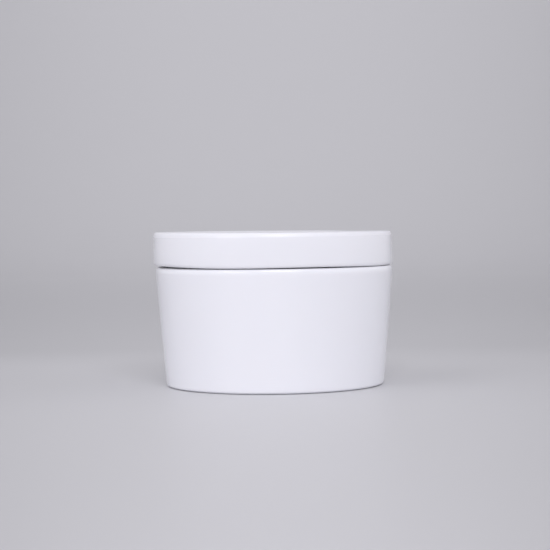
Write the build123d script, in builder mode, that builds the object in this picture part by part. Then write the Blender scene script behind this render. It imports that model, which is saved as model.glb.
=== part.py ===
from build123d import *
import os

# A low round porcelain pot with a flat cap lid that lifts straight off.
# The origin is the centre of the ring that the pot stands on, +Z is up, and sizes are in millimetres.
# Each piece is one casting, so each is one closed section turned about its own axis.

# Pot, outside
rim_radius = 47.0  # wall outside, carried up to the seat
base_radius = 43.0  # wall outside, carried down to the table
seat_height = 47.1  # table to the flat top of the rim
foot_edge = 1.0  # rounding where the wall meets the table
rim_outer_edge = 0.6

# Pot, inside and underneath
pot_wall = 3.8
rim_inner_edge = 0.9
floor_height = 4.8  # table to the inside floor
floor_corner = 6.0  # inside rounding between floor and wall
foot_width = 3.6  # flat ring plus its two roundings
foot_recess = 1.2  # the floor's underside stands this far off the table
recess_corner = 0.6
foot_slope = 1.0  # the foot's inner side leans in by this much

# Lid, outside
lid_height = 13.2  # seat to the flat top
lid_skirt_radius = 47.3  # at the seat
lid_crown_radius = 47.1  # at the flat top
lid_crown_edge = 1.6
lid_skirt_edge = 1.0

# Lid, inside: a flange drops into the pot's mouth, and the wall is hollow above it
flange_play = 0.9  # all round, between the flange and the pot's mouth
flange_depth = 5.4  # below the seat
flange_draft = 0.5  # the flange is this much narrower at its tip, as the pot's mouth is
flange_wall = 3.4
flange_edge = 1.2
flange_root = 0.5  # hollow corner between flange and seat
lid_wall = 4.2
seat_thickness = 4.0
lid_top_thickness = 4.2
hollow_corner = 2.4
neck_edge = 1.8
lid_rest_shift = -0.4  # along X: the lid lies off centre, within the flange's play

mouth_radius = rim_radius - pot_wall
floor_radius = base_radius - pot_wall
foot_inner_radius = base_radius - foot_width
lid_top = seat_height + lid_height
flange_radius = mouth_radius - flange_play
flange_tip_radius = flange_radius - flange_draft
flange_tip_height = seat_height - flange_depth
hollow_radius = lid_skirt_radius - lid_wall
hollow_low = seat_height + seat_thickness
hollow_high = lid_top - lid_top_thickness

# Pot: floor, foot ring, tapered wall and rounded rim
with BuildPart() as pot:
    with BuildSketch(Plane.XZ):
        with BuildLine():
            FilletPolyline(
                (0, foot_recess),
                (foot_inner_radius - foot_slope, foot_recess),
                (foot_inner_radius, 0),
                (base_radius, 0),
                (rim_radius, seat_height),
                (mouth_radius, seat_height),
                (floor_radius, floor_height),
                (0, floor_height),
                radius=[
                    0,
                    recess_corner,
                    recess_corner,
                    foot_edge,
                    rim_outer_edge,
                    rim_inner_edge,
                    floor_corner,
                    0,
                ],
                close=True,
            )
        make_face()
    revolve(axis=Axis.Z)
pot.part.label = "pot"

# Lid: flat crown, short skirt, seat that rests on the rim, and the flange inside the mouth
lid_axis = Axis((lid_rest_shift, 0, 0), (0, 0, 1))
lid_plane = Plane(origin=lid_axis.position, x_dir=Plane.XZ.x_dir, z_dir=Plane.XZ.z_dir)
with BuildPart() as lid:
    with BuildSketch(lid_plane):
        with BuildLine():
            FilletPolyline(
                (0, hollow_high),
                (hollow_radius, hollow_high),
                (hollow_radius, hollow_low),
                (flange_radius - flange_wall, hollow_low),
                (flange_tip_radius - flange_wall, flange_tip_height),
                (flange_tip_radius, flange_tip_height),
                (flange_radius, seat_height),
                (lid_skirt_radius, seat_height),
                (lid_crown_radius, lid_top),
                (0, lid_top),
                radius=[
                    0,
                    hollow_corner,
                    hollow_corner,
                    neck_edge,
                    flange_edge,
                    flange_edge,
                    flange_root,
                    lid_skirt_edge,
                    lid_crown_edge,
                    0,
                ],
                close=True,
            )
        make_face()
    revolve(axis=lid_axis)
lid.part.label = "lid"

os.makedirs("parts", exist_ok=True)
export_step(pot.part, "parts/pot.step")
export_step(lid.part, "parts/lid.step")
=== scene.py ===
"""A low round porcelain pot with a flat cap lid, on pale studio paper.

Both castings are glazed all over, except for the foot ring and the two seats, which are bare.
"""

import math

import bmesh
import bpy
from mathutils import Matrix, Vector


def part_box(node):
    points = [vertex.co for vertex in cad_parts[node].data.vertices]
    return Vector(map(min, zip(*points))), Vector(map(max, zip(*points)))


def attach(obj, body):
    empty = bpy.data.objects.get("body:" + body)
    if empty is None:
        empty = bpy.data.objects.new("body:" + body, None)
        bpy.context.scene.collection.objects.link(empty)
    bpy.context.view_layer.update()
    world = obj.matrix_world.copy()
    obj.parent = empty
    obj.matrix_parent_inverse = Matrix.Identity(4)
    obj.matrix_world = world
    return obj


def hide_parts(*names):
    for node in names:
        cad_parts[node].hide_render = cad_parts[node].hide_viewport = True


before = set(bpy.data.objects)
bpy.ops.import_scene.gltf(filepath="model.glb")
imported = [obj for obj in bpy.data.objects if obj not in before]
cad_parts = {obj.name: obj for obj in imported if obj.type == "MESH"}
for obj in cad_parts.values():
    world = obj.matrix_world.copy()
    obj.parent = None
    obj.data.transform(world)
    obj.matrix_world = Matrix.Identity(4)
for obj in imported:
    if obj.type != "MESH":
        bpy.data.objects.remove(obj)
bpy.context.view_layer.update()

MM = 0.001

# What the frame says: where the pot stands, where the lid rests, and how tall and wide both are.
pot_low, pot_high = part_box("pot")
lid_low, lid_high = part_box("lid")
seat = pot_high.z
lid_top = lid_high.z
lid_centre_x = (lid_low.x + lid_high.x) / 2
lid_radius = (lid_high.x - lid_low.x) / 2

# Pot, as fettled before firing
rim_radius = 47.0 * MM
base_radius = 43.0 * MM
pot_wall = 3.8 * MM
floor_height = 4.8 * MM
foot_recess = 1.2 * MM
foot_width = 3.6 * MM
foot_slope = 1.0 * MM

# Lid, as fettled before firing
skirt_radius = lid_radius
crown_radius = lid_radius - 0.25 * MM
flange_radius = 42.3 * MM
flange_draft = 0.5 * MM
flange_wall = 3.4 * MM
lid_wall = 4.2 * MM
seat_thickness = 4.0 * MM
crown_thickness = 4.2 * MM

# What firing does to the heights
rim_height = seat - 0.08 * MM  # the pot's rim settles a little
seat_relief = 0.06 * MM  # the lid's lower edge stands this far over the seat
crown_swell = 0.20 * MM  # the lid's top stands this far over the frame's

RIM_LEAN = -0.0006  # the fired rim is this slope out of level, falling towards +X

SEGMENTS = 288  # steps round the axis
POINT_STEP = 1.1 * MM  # along the straight runs of a section
EDGE_POINTS = 14  # steps along each softened corner


# ---------------------------------------------------------------------------
# Node graphs written as Python
# ---------------------------------------------------------------------------
class Signal:
    """One output socket. Arithmetic on it adds Math nodes to its graph."""

    def __init__(self, graph, socket):
        self.graph = graph
        self.socket = socket

    def math(self, operation, *values):
        inputs = dict(enumerate(values))
        return self.graph.node("ShaderNodeMath", {"operation": operation}, inputs)

    def __add__(self, other):
        return self.math("ADD", self, other)

    def __radd__(self, other):
        return self.math("ADD", other, self)

    def __sub__(self, other):
        return self.math("SUBTRACT", self, other)

    def __rsub__(self, other):
        return self.math("SUBTRACT", other, self)

    def __mul__(self, other):
        return self.math("MULTIPLY", self, other)

    def __rmul__(self, other):
        return self.math("MULTIPLY", other, self)

    def __truediv__(self, other):
        return self.math("DIVIDE", self, other)

    def __mod__(self, other):
        return self.math("MODULO", self, other)

    def __pow__(self, other):
        return self.math("POWER", self, other)

    def floor(self):
        return self.math("FLOOR", self)

    def cosine(self):
        return self.math("COSINE", self)

    def sine(self):
        return self.math("SINE", self)

    def ease(self, start, end):
        """0 before start, 1 after end, smooth between."""
        settings = {"interpolation_type": "SMOOTHSTEP"}
        inputs = {"Value": self, "From Min": start, "From Max": end}
        return self.graph.node("ShaderNodeMapRange", settings, inputs)


class Graph:
    """A node tree, with one way to add any node."""

    def __init__(self, tree):
        self.tree = tree

    def node(self, kind, settings=None, inputs=None, output=0):
        made = self.tree.nodes.new(kind)
        for name, value in (settings or {}).items():
            setattr(made, name, value)
        for key, value in (inputs or {}).items():
            self.feed(made.inputs[key], value)
        return Signal(self, made.outputs[output])

    def feed(self, socket, value):
        if isinstance(value, Signal):
            self.tree.links.new(value.socket, socket)
        else:
            socket.default_value = value

    def mix_colour(self, factor, low, high):
        settings = {"data_type": "RGBA"}
        return self.node("ShaderNodeMix", settings, {0: factor, 6: low, 7: high}, output=2)


# ---------------------------------------------------------------------------
# Sections: the outline that a template would give, corner by corner
# ---------------------------------------------------------------------------
class Corner:
    """A corner of a half section. It is softened from `before` ahead of it to `after` past it."""

    def __init__(self, radius, height, before=0.0, after=0.0, bare_after=False):
        self.place = Vector((radius, height))
        self.before = before * MM
        self.after = after * MM
        self.bare_after = bare_after


def pot_corners():
    """From the axis underneath, round the foot, up the wall, over the rim and down to the inside floor."""
    foot_inner = base_radius - foot_width
    return [
        Corner(0, foot_recess),
        Corner(foot_inner - foot_slope, foot_recess, before=1.4, after=0.5),
        Corner(foot_inner, 0, before=0.4, after=0.5, bare_after=True),
        Corner(base_radius, 0, before=1.7, after=1.2),
        Corner(rim_radius, rim_height, before=2.9, after=1.2, bare_after=True),
        Corner(rim_radius - pot_wall, rim_height, before=0.7, after=1.4),
        Corner(base_radius - pot_wall, floor_height, before=6.0, after=6.0),
        Corner(0, floor_height),
    ]


def lid_corners():
    """From the axis under the crown, round the hollow and the flange, along the seat and up to the top."""
    hollow_low = seat + seat_thickness
    hollow_high = lid_top - crown_thickness
    hollow_radius = skirt_radius - lid_wall
    flange_tip = flange_radius - flange_draft
    tip_height = lid_low.z
    return [
        Corner(0, hollow_high),
        Corner(hollow_radius, hollow_high, before=2.4, after=2.4),
        Corner(hollow_radius, hollow_low, before=2.2, after=2.2),
        Corner(flange_radius - flange_wall, hollow_low, before=1.8, after=1.8),
        Corner(flange_tip - flange_wall, tip_height, before=1.2, after=1.2),
        Corner(flange_tip, tip_height, before=1.2, after=1.2),
        Corner(flange_radius, seat, before=0.5, after=0.4, bare_after=True),
        Corner(skirt_radius, seat + seat_relief, before=0.7, after=1.4),
        Corner(crown_radius, lid_top + crown_swell, before=2.6, after=1.0),
        Corner(0, lid_top + crown_swell),
    ]


def softened(corner, last, following):
    """Points along a corner's soft edge: a curve that leaves one face and joins the next."""
    into = (corner.place - last).normalized()
    out = (following - corner.place).normalized()
    start = corner.place - into * corner.before
    end = corner.place + out * corner.after
    for n in range(EDGE_POINTS + 1):
        t = n / EDGE_POINTS
        yield start.lerp(corner.place, t).lerp(corner.place.lerp(end, t), t)


def section(name, corners):
    """The softened outline as a chain of vertices, marked where it's bare and how deep the glaze lies."""
    points = [corners[0].place]
    bare = [0.0]
    depth_marks = []
    for last, corner, following in zip(corners, corners[1:], corners[2:]):
        edge = list(softened(corner, last.place, following.place))
        run = edge[0] - points[-1]
        steps = max(1, round(run.length / POINT_STEP))
        flag = 1.0 if last.bare_after else 0.0
        for n in range(1, steps):
            points.append(points[-1] + run / steps)
            bare.append(flag)
        into = corner.place - last.place
        out = following.place - corner.place
        turn = into.x * out.y - into.y * out.x
        sharpness = abs(turn) / (into.length * out.length)
        depth_marks.append((len(points) + EDGE_POINTS // 2, math.copysign(sharpness, -turn)))
        points.extend(edge)
        bare.extend([0.0] * len(edge))
    run = corners[-1].place - points[-1]
    steps = max(1, round(run.length / POINT_STEP))
    for n in range(steps):
        points.append(points[-1] + run / steps)
        bare.append(0.0)

    mesh = bpy.data.meshes.new(name)
    edges = [(n, n + 1) for n in range(len(points) - 1)]
    mesh.from_pydata([(p.x, 0, p.y) for p in points], edges, [])
    mesh.attributes.new("bare", "FLOAT", "POINT").data.foreach_set("value", bare)
    depth = [glaze_depth(p, points, depth_marks) for p in points]
    mesh.attributes.new("glaze_depth", "FLOAT", "POINT").data.foreach_set("value", depth)
    return mesh


def glaze_depth(point, points, marks, reach=1.6 * MM):
    """Glaze runs off sharp edges, below 0, and gathers in hollow corners, above 0."""
    total = 0.0
    for index, sharpness in marks:
        away = (point - points[index]).length / reach
        total += sharpness * math.exp(-away * away)
    return max(-1.0, min(1.0, total))


# ---------------------------------------------------------------------------
# Turning: a section swept round its axis, with what the kiln does to it
# ---------------------------------------------------------------------------
TURNING_INPUTS = {
    "Segments": ("NodeSocketInt", 64),
    "Axis X": ("NodeSocketFloat", 0.0),
    "True Height": ("NodeSocketFloat", 0.0),
    "Warped Height": ("NodeSocketFloat", 1.0),
    "Ovality": ("NodeSocketFloat", 0.0),
    "Ovality Turn": ("NodeSocketFloat", 0.0),
    "Bow": ("NodeSocketFloat", 0.0),
    "Sideways": ("NodeSocketFloat", 0.0),
    "Seat Lean": ("NodeSocketFloat", 0.0),
    "Top Lean": ("NodeSocketFloat", 0.0),
    "Lift": ("NodeSocketFloat", 0.0),
    "Lift Turn": ("NodeSocketFloat", 0.0),
    "Wave": ("NodeSocketFloat", 0.0),
    "Wave Turn": ("NodeSocketFloat", 0.0),
    "Wave Lobes": ("NodeSocketInt", 4),
    "Dip": ("NodeSocketFloat", 0.0),
    "Dip Turn": ("NodeSocketFloat", 0.0),
    "Dip Focus": ("NodeSocketFloat", 30.0),
    "Glaze": ("NodeSocketMaterial", None),
}


def turning_tree():
    """Geometry nodes that turn a section into a closed casting."""
    tree = bpy.data.node_groups.new("turned_casting", "GeometryNodeTree")
    tree.interface.new_socket("Section", in_out="INPUT", socket_type="NodeSocketGeometry")
    for name, (kind, value) in TURNING_INPUTS.items():
        socket = tree.interface.new_socket(name, in_out="INPUT", socket_type=kind)
        if value is not None:
            socket.default_value = value
    tree.interface.new_socket("Casting", in_out="OUTPUT", socket_type="NodeSocketGeometry")
    g = Graph(tree)
    group_in = tree.nodes.new("NodeGroupInput")
    given = {socket.name: Signal(g, socket) for socket in group_in.outputs if socket.name}
    outline = given["Section"]

    # A sheet with one column of vertices for each step round the axis
    point_count = g.node("GeometryNodeAttributeDomainSize", None, {"Geometry": outline}, "Point Count")
    grid = g.node("GeometryNodeMeshGrid", None, {
        "Size X": 1.0,
        "Size Y": 1.0,
        "Vertices X": given["Segments"] + 1,
        "Vertices Y": point_count,
    })
    grid_uv = Signal(g, grid.socket.node.outputs["UV Map"])
    index = g.node("GeometryNodeInputIndex")
    row = index % point_count
    column = (index / point_count).floor()
    angle = column / given["Segments"] * math.tau

    def from_section(value, data_type):
        inputs = {"Geometry": outline, "Value": value, "Index": row}
        settings = {"data_type": data_type, "domain": "POINT"}
        return g.node("GeometryNodeSampleIndex", settings, inputs)

    position = from_section(g.node("GeometryNodeInputPosition"), "FLOAT_VECTOR")
    radius = g.node("ShaderNodeSeparateXYZ", None, {0: position}, "X")
    height = g.node("ShaderNodeSeparateXYZ", None, {0: position}, "Z")

    # Kiln warp: nothing at the true height, all of it at the warped height
    span = given["Warped Height"] - given["True Height"]
    rise = (height - given["True Height"]) / span
    rise = g.node("ShaderNodeClamp", None, {"Value": rise})
    oval = given["Ovality"] * (2 * (angle - given["Ovality Turn"])).cosine() * rise
    bow = given["Bow"] * 4 * rise * (1 - rise)
    share = radius / lid_radius
    warped_radius = radius + (oval + bow) * share
    lean = (given["Seat Lean"] * (1 - rise) + given["Top Lean"] * rise) * radius * angle.cosine()
    lifted_side = (angle - given["Lift Turn"]).cosine()
    lift = given["Lift"] * (0.5 + 0.5 * lifted_side) * (1 - rise)
    ripple = (given["Wave Lobes"] * (angle - given["Wave Turn"])).cosine()
    wave = given["Wave"] * (0.5 + 0.5 * ripple) * (1 - rise)
    facing = 0.5 + 0.5 * (angle - given["Dip Turn"]).cosine()
    dip = given["Dip"] * facing ** given["Dip Focus"] * rise * share
    warped_height = height + lean + (lift + wave - dip) * share
    place = g.node("ShaderNodeCombineXYZ", None, {
        "X": warped_radius * angle.cosine() + given["Axis X"] + given["Sideways"] * rise,
        "Y": warped_radius * angle.sine(),
        "Z": warped_height,
    })

    sheet = g.node("GeometryNodeSetPosition", None, {"Geometry": grid, "Position": place})
    for name in ("bare", "glaze_depth"):
        named = g.node("GeometryNodeInputNamedAttribute", {"data_type": "FLOAT"}, {"Name": name})
        inputs = {"Geometry": sheet, "Name": name, "Value": from_section(named, "FLOAT")}
        sheet = g.node("GeometryNodeStoreNamedAttribute", {"data_type": "FLOAT", "domain": "POINT"}, inputs)
    inputs = {"Geometry": sheet, "Name": "UVMap", "Value": grid_uv}
    sheet = g.node("GeometryNodeStoreNamedAttribute", {"data_type": "FLOAT2", "domain": "CORNER"}, inputs)
    closed = g.node("GeometryNodeMergeByDistance", None, {"Geometry": sheet, "Distance": 1e-6})
    finished = g.node("GeometryNodeSetMaterial", None, {"Geometry": closed, "Material": given["Glaze"]})
    group_out = tree.nodes.new("NodeGroupOutput")
    tree.links.new(finished.socket, group_out.inputs["Casting"])
    return tree


def turned_casting(name, tree, outline, **inputs):
    """Runs the turning tree on a section and keeps the result as a plain closed mesh."""
    blank = bpy.data.objects.new(name + "_section", outline)
    bpy.context.scene.collection.objects.link(blank)
    modifier = blank.modifiers.new("turning", "NODES")
    modifier.node_group = tree
    identifiers = {item.name: item.identifier for item in tree.interface.items_tree}
    for words, value in inputs.items():
        modifier[identifiers[words.replace("_", " ")]] = value
    evaluated = blank.evaluated_get(bpy.context.evaluated_depsgraph_get())
    mesh = bpy.data.meshes.new_from_object(evaluated)
    mesh.name = name
    bpy.data.objects.remove(blank)

    shell = bmesh.new()
    shell.from_mesh(mesh)
    bmesh.ops.recalc_face_normals(shell, faces=shell.faces)
    for face in shell.faces:
        face.smooth = True
    shell.to_mesh(mesh)
    shell.free()
    piece = bpy.data.objects.new(name, mesh)
    bpy.context.scene.collection.objects.link(piece)
    return piece


# ---------------------------------------------------------------------------
# Materials
# ---------------------------------------------------------------------------
POT_GLAZE = (0.812, 0.82, 0.862, 1)
# The lid's glaze is the pot's glaze made a little darker: painted shade, so the lid reads no brighter than
# the pot.
LID_GLAZE_PAINTED_SHADE = (0.785, 0.793, 0.832, 1)
POOLED_COLOUR = (0.72, 0.77, 0.80, 1)
BARE_COLOUR = (0.68, 0.672, 0.66, 1)
GLAZE_ROUGHNESS = 0.20
HANDLED_ROUGHNESS = 0.22  # added where hands and cloths have dulled the lid's top
BARE_ROUGHNESS = 0.45  # added where the glaze was wiped off
HANDLED_FROM = lid_top - 2.4 * MM
HANDLED_FULLY = lid_top + 0.1 * MM
SWELL_DEPTH = 0.06 * MM


def porcelain(name, glaze_colour):
    """Clear glaze over cool white porcelain, and the matt fired body where the glaze was wiped off."""
    material = bpy.data.materials.new(name)
    material.use_nodes = True
    tree = material.node_tree
    tree.nodes.clear()
    g = Graph(tree)
    here = g.node("ShaderNodeTexCoord", None, None, "Object")
    height = g.node("ShaderNodeSeparateXYZ", None, {0: here}, "Z")
    bare = g.node("ShaderNodeAttribute", {"attribute_name": "bare"}, None, "Fac")
    depth = g.node("ShaderNodeAttribute", {"attribute_name": "glaze_depth"}, None, "Fac")

    def noise(lumps_per_metre, detail=2.0, rough=0.5):
        inputs = {"Vector": here, "Scale": lumps_per_metre, "Detail": detail, "Roughness": rough}
        return g.node("ShaderNodeTexNoise", {"noise_dimensions": "3D"}, inputs)

    # The glaze line wanders a little along the bare bands
    wander = (noise(900.0) - 0.5) * 0.5
    bare_mask = (bare + wander).ease(0.4, 0.6)
    pooled = (depth + (noise(260.0) - 0.5) * 0.4).ease(0.25, 1.0)
    cloud = noise(28.0, 3.0)
    grain = noise(2600.0, 4.0, 0.7)

    tint = g.mix_colour(pooled * 0.6 + (cloud - 0.5) * 0.12, glaze_colour, POOLED_COLOUR)
    colour = g.mix_colour(bare_mask, tint, BARE_COLOUR)
    handled = height.ease(HANDLED_FROM, HANDLED_FULLY)
    glazed_roughness = GLAZE_ROUGHNESS + handled * HANDLED_ROUGHNESS + (cloud - 0.5) * 0.03
    roughness = glazed_roughness + bare_mask * (BARE_ROUGHNESS + grain * 0.15)
    swell = noise(55.0, 1.0) * 0.6 + noise(210.0, 1.0) * 0.08
    relief = swell * (1 - bare_mask) + grain * bare_mask * 0.06
    bump = g.node("ShaderNodeBump", None, {"Strength": 0.25, "Distance": SWELL_DEPTH, "Height": relief})
    surface = g.node("ShaderNodeBsdfPrincipled", None, {
        "Base Color": colour,
        "Roughness": roughness,
        "Normal": bump,
        "IOR": 1.52,
        "Subsurface Weight": 0.08,
        "Subsurface Radius": (1.0, 0.9, 0.8),
        "Subsurface Scale": 1.5 * MM,
    })
    output = tree.nodes.new("ShaderNodeOutputMaterial")
    tree.links.new(surface.socket, output.inputs["Surface"])
    return material


# The paper's own tone, then painted shade for the band behind the pot and painted light for the backdrop.
PAPER_NEAR = (0.589, 0.592, 0.607, 1)
PAPER_PAINTED_SHADE = (0.518, 0.521, 0.535, 1)
PAPER_BACK_PAINTED_LIGHT = (0.64, 0.643, 0.658, 1)
PAPER_ROUGHNESS = 0.42

# Where the paper's painted shade and painted light change, in metres behind the pot's axis: start and end
# of each change
BEHIND_POT = (0.08, 0.20)
UP_THE_BACKDROP = (0.4, 1.8)
TOWARDS_CAMERA = (-0.40, -0.02)

# How the painted shade falls off: sideways, fanning out from a point in front of the pot, and towards the
# camera
FAN_REACH = 0.69
SIDE_FALLOFF = 3.7
FRONT_FALLOFF = 0.08
DARKEST_FALLOFF = 0.82


def paper():
    """Matt studio paper, with painted shade behind the pot, painted light further back up the backdrop, and
    painted shade falling off to both sides and towards the camera.
    """
    material = bpy.data.materials.new("studio_paper")
    material.use_nodes = True
    tree = material.node_tree
    tree.nodes.clear()
    g = Graph(tree)
    here = g.node("ShaderNodeTexCoord", None, None, "Object")
    across = g.node("ShaderNodeSeparateXYZ", None, {0: here}, "X")
    depth = g.node("ShaderNodeSeparateXYZ", None, {0: here}, "Y")
    fibre = g.node("ShaderNodeTexNoise", None, {"Vector": here, "Scale": 400.0, "Detail": 3.0})
    # Painted shade behind the pot, then painted light up the backdrop
    floor = g.mix_colour(depth.ease(*BEHIND_POT) + (fibre - 0.5) * 0.05, PAPER_NEAR, PAPER_PAINTED_SHADE)
    sheet = g.mix_colour(depth.ease(*UP_THE_BACKDROP), floor, PAPER_BACK_PAINTED_LIGHT)
    # Painted shade: the paper darkens towards both sides and towards the camera
    aside = across / (depth + FAN_REACH)
    front = 1 - depth.ease(*TOWARDS_CAMERA)
    painted_falloff = 1 - aside * aside * SIDE_FALLOFF - front * FRONT_FALLOFF
    painted_falloff = painted_falloff.math("MAXIMUM", painted_falloff, DARKEST_FALLOFF)
    colour = g.node("ShaderNodeVectorMath", {"operation": "SCALE"}, {0: sheet, "Scale": painted_falloff})
    surface = g.node("ShaderNodeBsdfPrincipled", None, {
        "Base Color": colour,
        "Roughness": PAPER_ROUGHNESS,
        "IOR": 1.45,
    })
    output = tree.nodes.new("ShaderNodeOutputMaterial")
    tree.links.new(surface.socket, output.inputs["Surface"])
    return material


# ---------------------------------------------------------------------------
# Studio
# ---------------------------------------------------------------------------
PAPER_GAP = 0.03 * MM  # keeps the sheet from lying in the same plane as the foot ring


def studio_paper():
    """A sheet on a roll: flat under the pot, then a long easy curve up into the backdrop."""
    half_width = 1.0
    front = -3.0
    bend_start = 1.2
    bend_radius = 1.2
    bend_steps = 24
    back_height = 3.0
    profile = [(front, 0.0), (-0.5, 0.0), (0.5, 0.0), (bend_start, 0.0)]  # (depth, height)
    for n in range(1, bend_steps + 1):
        turn = math.pi / 2 * n / bend_steps
        profile.append((bend_start + bend_radius * math.sin(turn), bend_radius * (1 - math.cos(turn))))
    profile.append((bend_start + bend_radius, back_height))
    vertices = [(side * half_width, y, z) for y, z in profile for side in (-1, 1)]
    faces = [(2 * n, 2 * n + 1, 2 * n + 3, 2 * n + 2) for n in range(len(profile) - 1)]
    mesh = bpy.data.meshes.new("studio_paper")
    mesh.from_pydata(vertices, [], faces)
    for face in mesh.polygons:
        face.use_smooth = True
    sheet = bpy.data.objects.new("studio_paper", mesh)
    bpy.context.scene.collection.objects.link(sheet)
    sheet.data.materials.append(paper())
    sheet.location.z = -PAPER_GAP


LAMP_COLOUR = (0.975, 0.957, 1.0)
ROOM_COLOUR = (0.97, 0.952, 1.0)
POT_MIDDLE = (0, 0, 0.05)


def softbox(name, place, aim, width, height, power):
    """A rectangular diffused light, turned to face a point."""
    light = bpy.data.lights.new(name, "AREA")
    light.shape = "RECTANGLE"
    light.size = width
    light.size_y = height
    light.energy = power
    light.color = LAMP_COLOUR
    box = bpy.data.objects.new(name, light)
    box.location = place
    box.rotation_euler = (Vector(aim) - Vector(place)).to_track_quat("-Z", "Y").to_euler()
    bpy.context.scene.collection.objects.link(box)


SEEN_WALL = 0.5  # how bright the room looks where the camera sees past the paper


def room_light(strength, side_lift, right_lift):
    """A white tent round the studio, brighter towards its two side walls; past the paper it looks grey."""
    world = bpy.data.worlds.new("room")
    world.use_nodes = True
    tree = world.node_tree
    tree.nodes.clear()
    g = Graph(tree)
    direction = g.node("ShaderNodeTexCoord", None, None, "Generated")
    across = g.node("ShaderNodeSeparateXYZ", None, {0: direction}, "X")
    level = strength + side_lift * across * across + right_lift * across
    looked_at = g.node("ShaderNodeLightPath", None, None, "Is Camera Ray")
    level = level * (1 - looked_at) + SEEN_WALL * looked_at
    background = g.node("ShaderNodeBackground", None, {"Color": (*ROOM_COLOUR, 1), "Strength": level})
    output = tree.nodes.new("ShaderNodeOutputWorld")
    tree.links.new(background.socket, output.inputs["Surface"])
    bpy.context.scene.world = world


def camera():
    """A long lens from across the table, a little above the lid, and a touch off level."""
    reach = 14.644 * rim_radius
    rise = 1.427 * rim_radius
    lens = bpy.data.cameras.new("camera")
    lens.sensor_width = 36.0
    lens.lens = 113.5
    lens.clip_start = 0.01
    lens.clip_end = 30.0
    body = bpy.data.objects.new("camera", lens)
    turn = Matrix.Rotation(math.radians(-0.03), 4, "Z")
    look_down = Matrix.Rotation(math.radians(90 - 1.98), 4, "X")
    roll = Matrix.Rotation(math.radians(-0.756), 4, "Z")
    body.matrix_world = Matrix.Translation((0, -reach, rise)) @ turn @ look_down @ roll
    bpy.context.scene.collection.objects.link(body)
    bpy.context.scene.camera = body


# ---------------------------------------------------------------------------
# Build
# ---------------------------------------------------------------------------
tree = turning_tree()

pot = turned_casting(
    "pot_casting", tree, section("pot_outline", pot_corners()),
    Segments=SEGMENTS,
    Warped_Height=seat,
    Ovality=0.05 * MM,
    Ovality_Turn=0.9,
    Bow=0.10 * MM,
    Top_Lean=RIM_LEAN,
    Glaze=porcelain("pot_glaze", POT_GLAZE),
)
lid = turned_casting(
    "lid_casting", tree, section("lid_outline", lid_corners()),
    Segments=SEGMENTS,
    Axis_X=lid_centre_x,
    True_Height=seat,
    Warped_Height=lid_top,
    Ovality=0.04 * MM,
    Ovality_Turn=0.3,
    Seat_Lean=RIM_LEAN,
    Top_Lean=-0.0058,
    Bow=0.10 * MM,
    Sideways=-0.08 * MM,
    Lift=0.60 * MM,
    Lift_Turn=math.radians(125),
    Wave=0.34 * MM,
    Wave_Turn=math.radians(20.5),
    Wave_Lobes=4,
    Dip=0.20 * MM,
    Dip_Turn=math.radians(41),
    Dip_Focus=60.0,
    # the lid's glaze is darkened: painted shade
    Glaze=porcelain("lid_glaze_painted_shade", LID_GLAZE_PAINTED_SHADE),
)
for piece, node in ((pot, "pot"), (lid, "lid")):
    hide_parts(node)
    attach(piece, node)

studio_paper()
softbox("key", (0.2, -1.5, 1.05), POT_MIDDLE, 0.9, 0.4, 14.4)
softbox("side", (-1.6, -1.8, 1.0), POT_MIDDLE, 1.2, 1.0, 10.8)
softbox("high_left", (-0.8, -0.35, 1.2), POT_MIDDLE, 0.6, 0.6, 1.5)
softbox("backdrop_wash", (0, 1.3, 1.9), (0, 2.0, 0.6), 1.6, 1.0, 4.1)
room_light(0.435, 0.745, 0.094)
camera()
bpy.context.scene.view_settings.view_transform = "Standard"
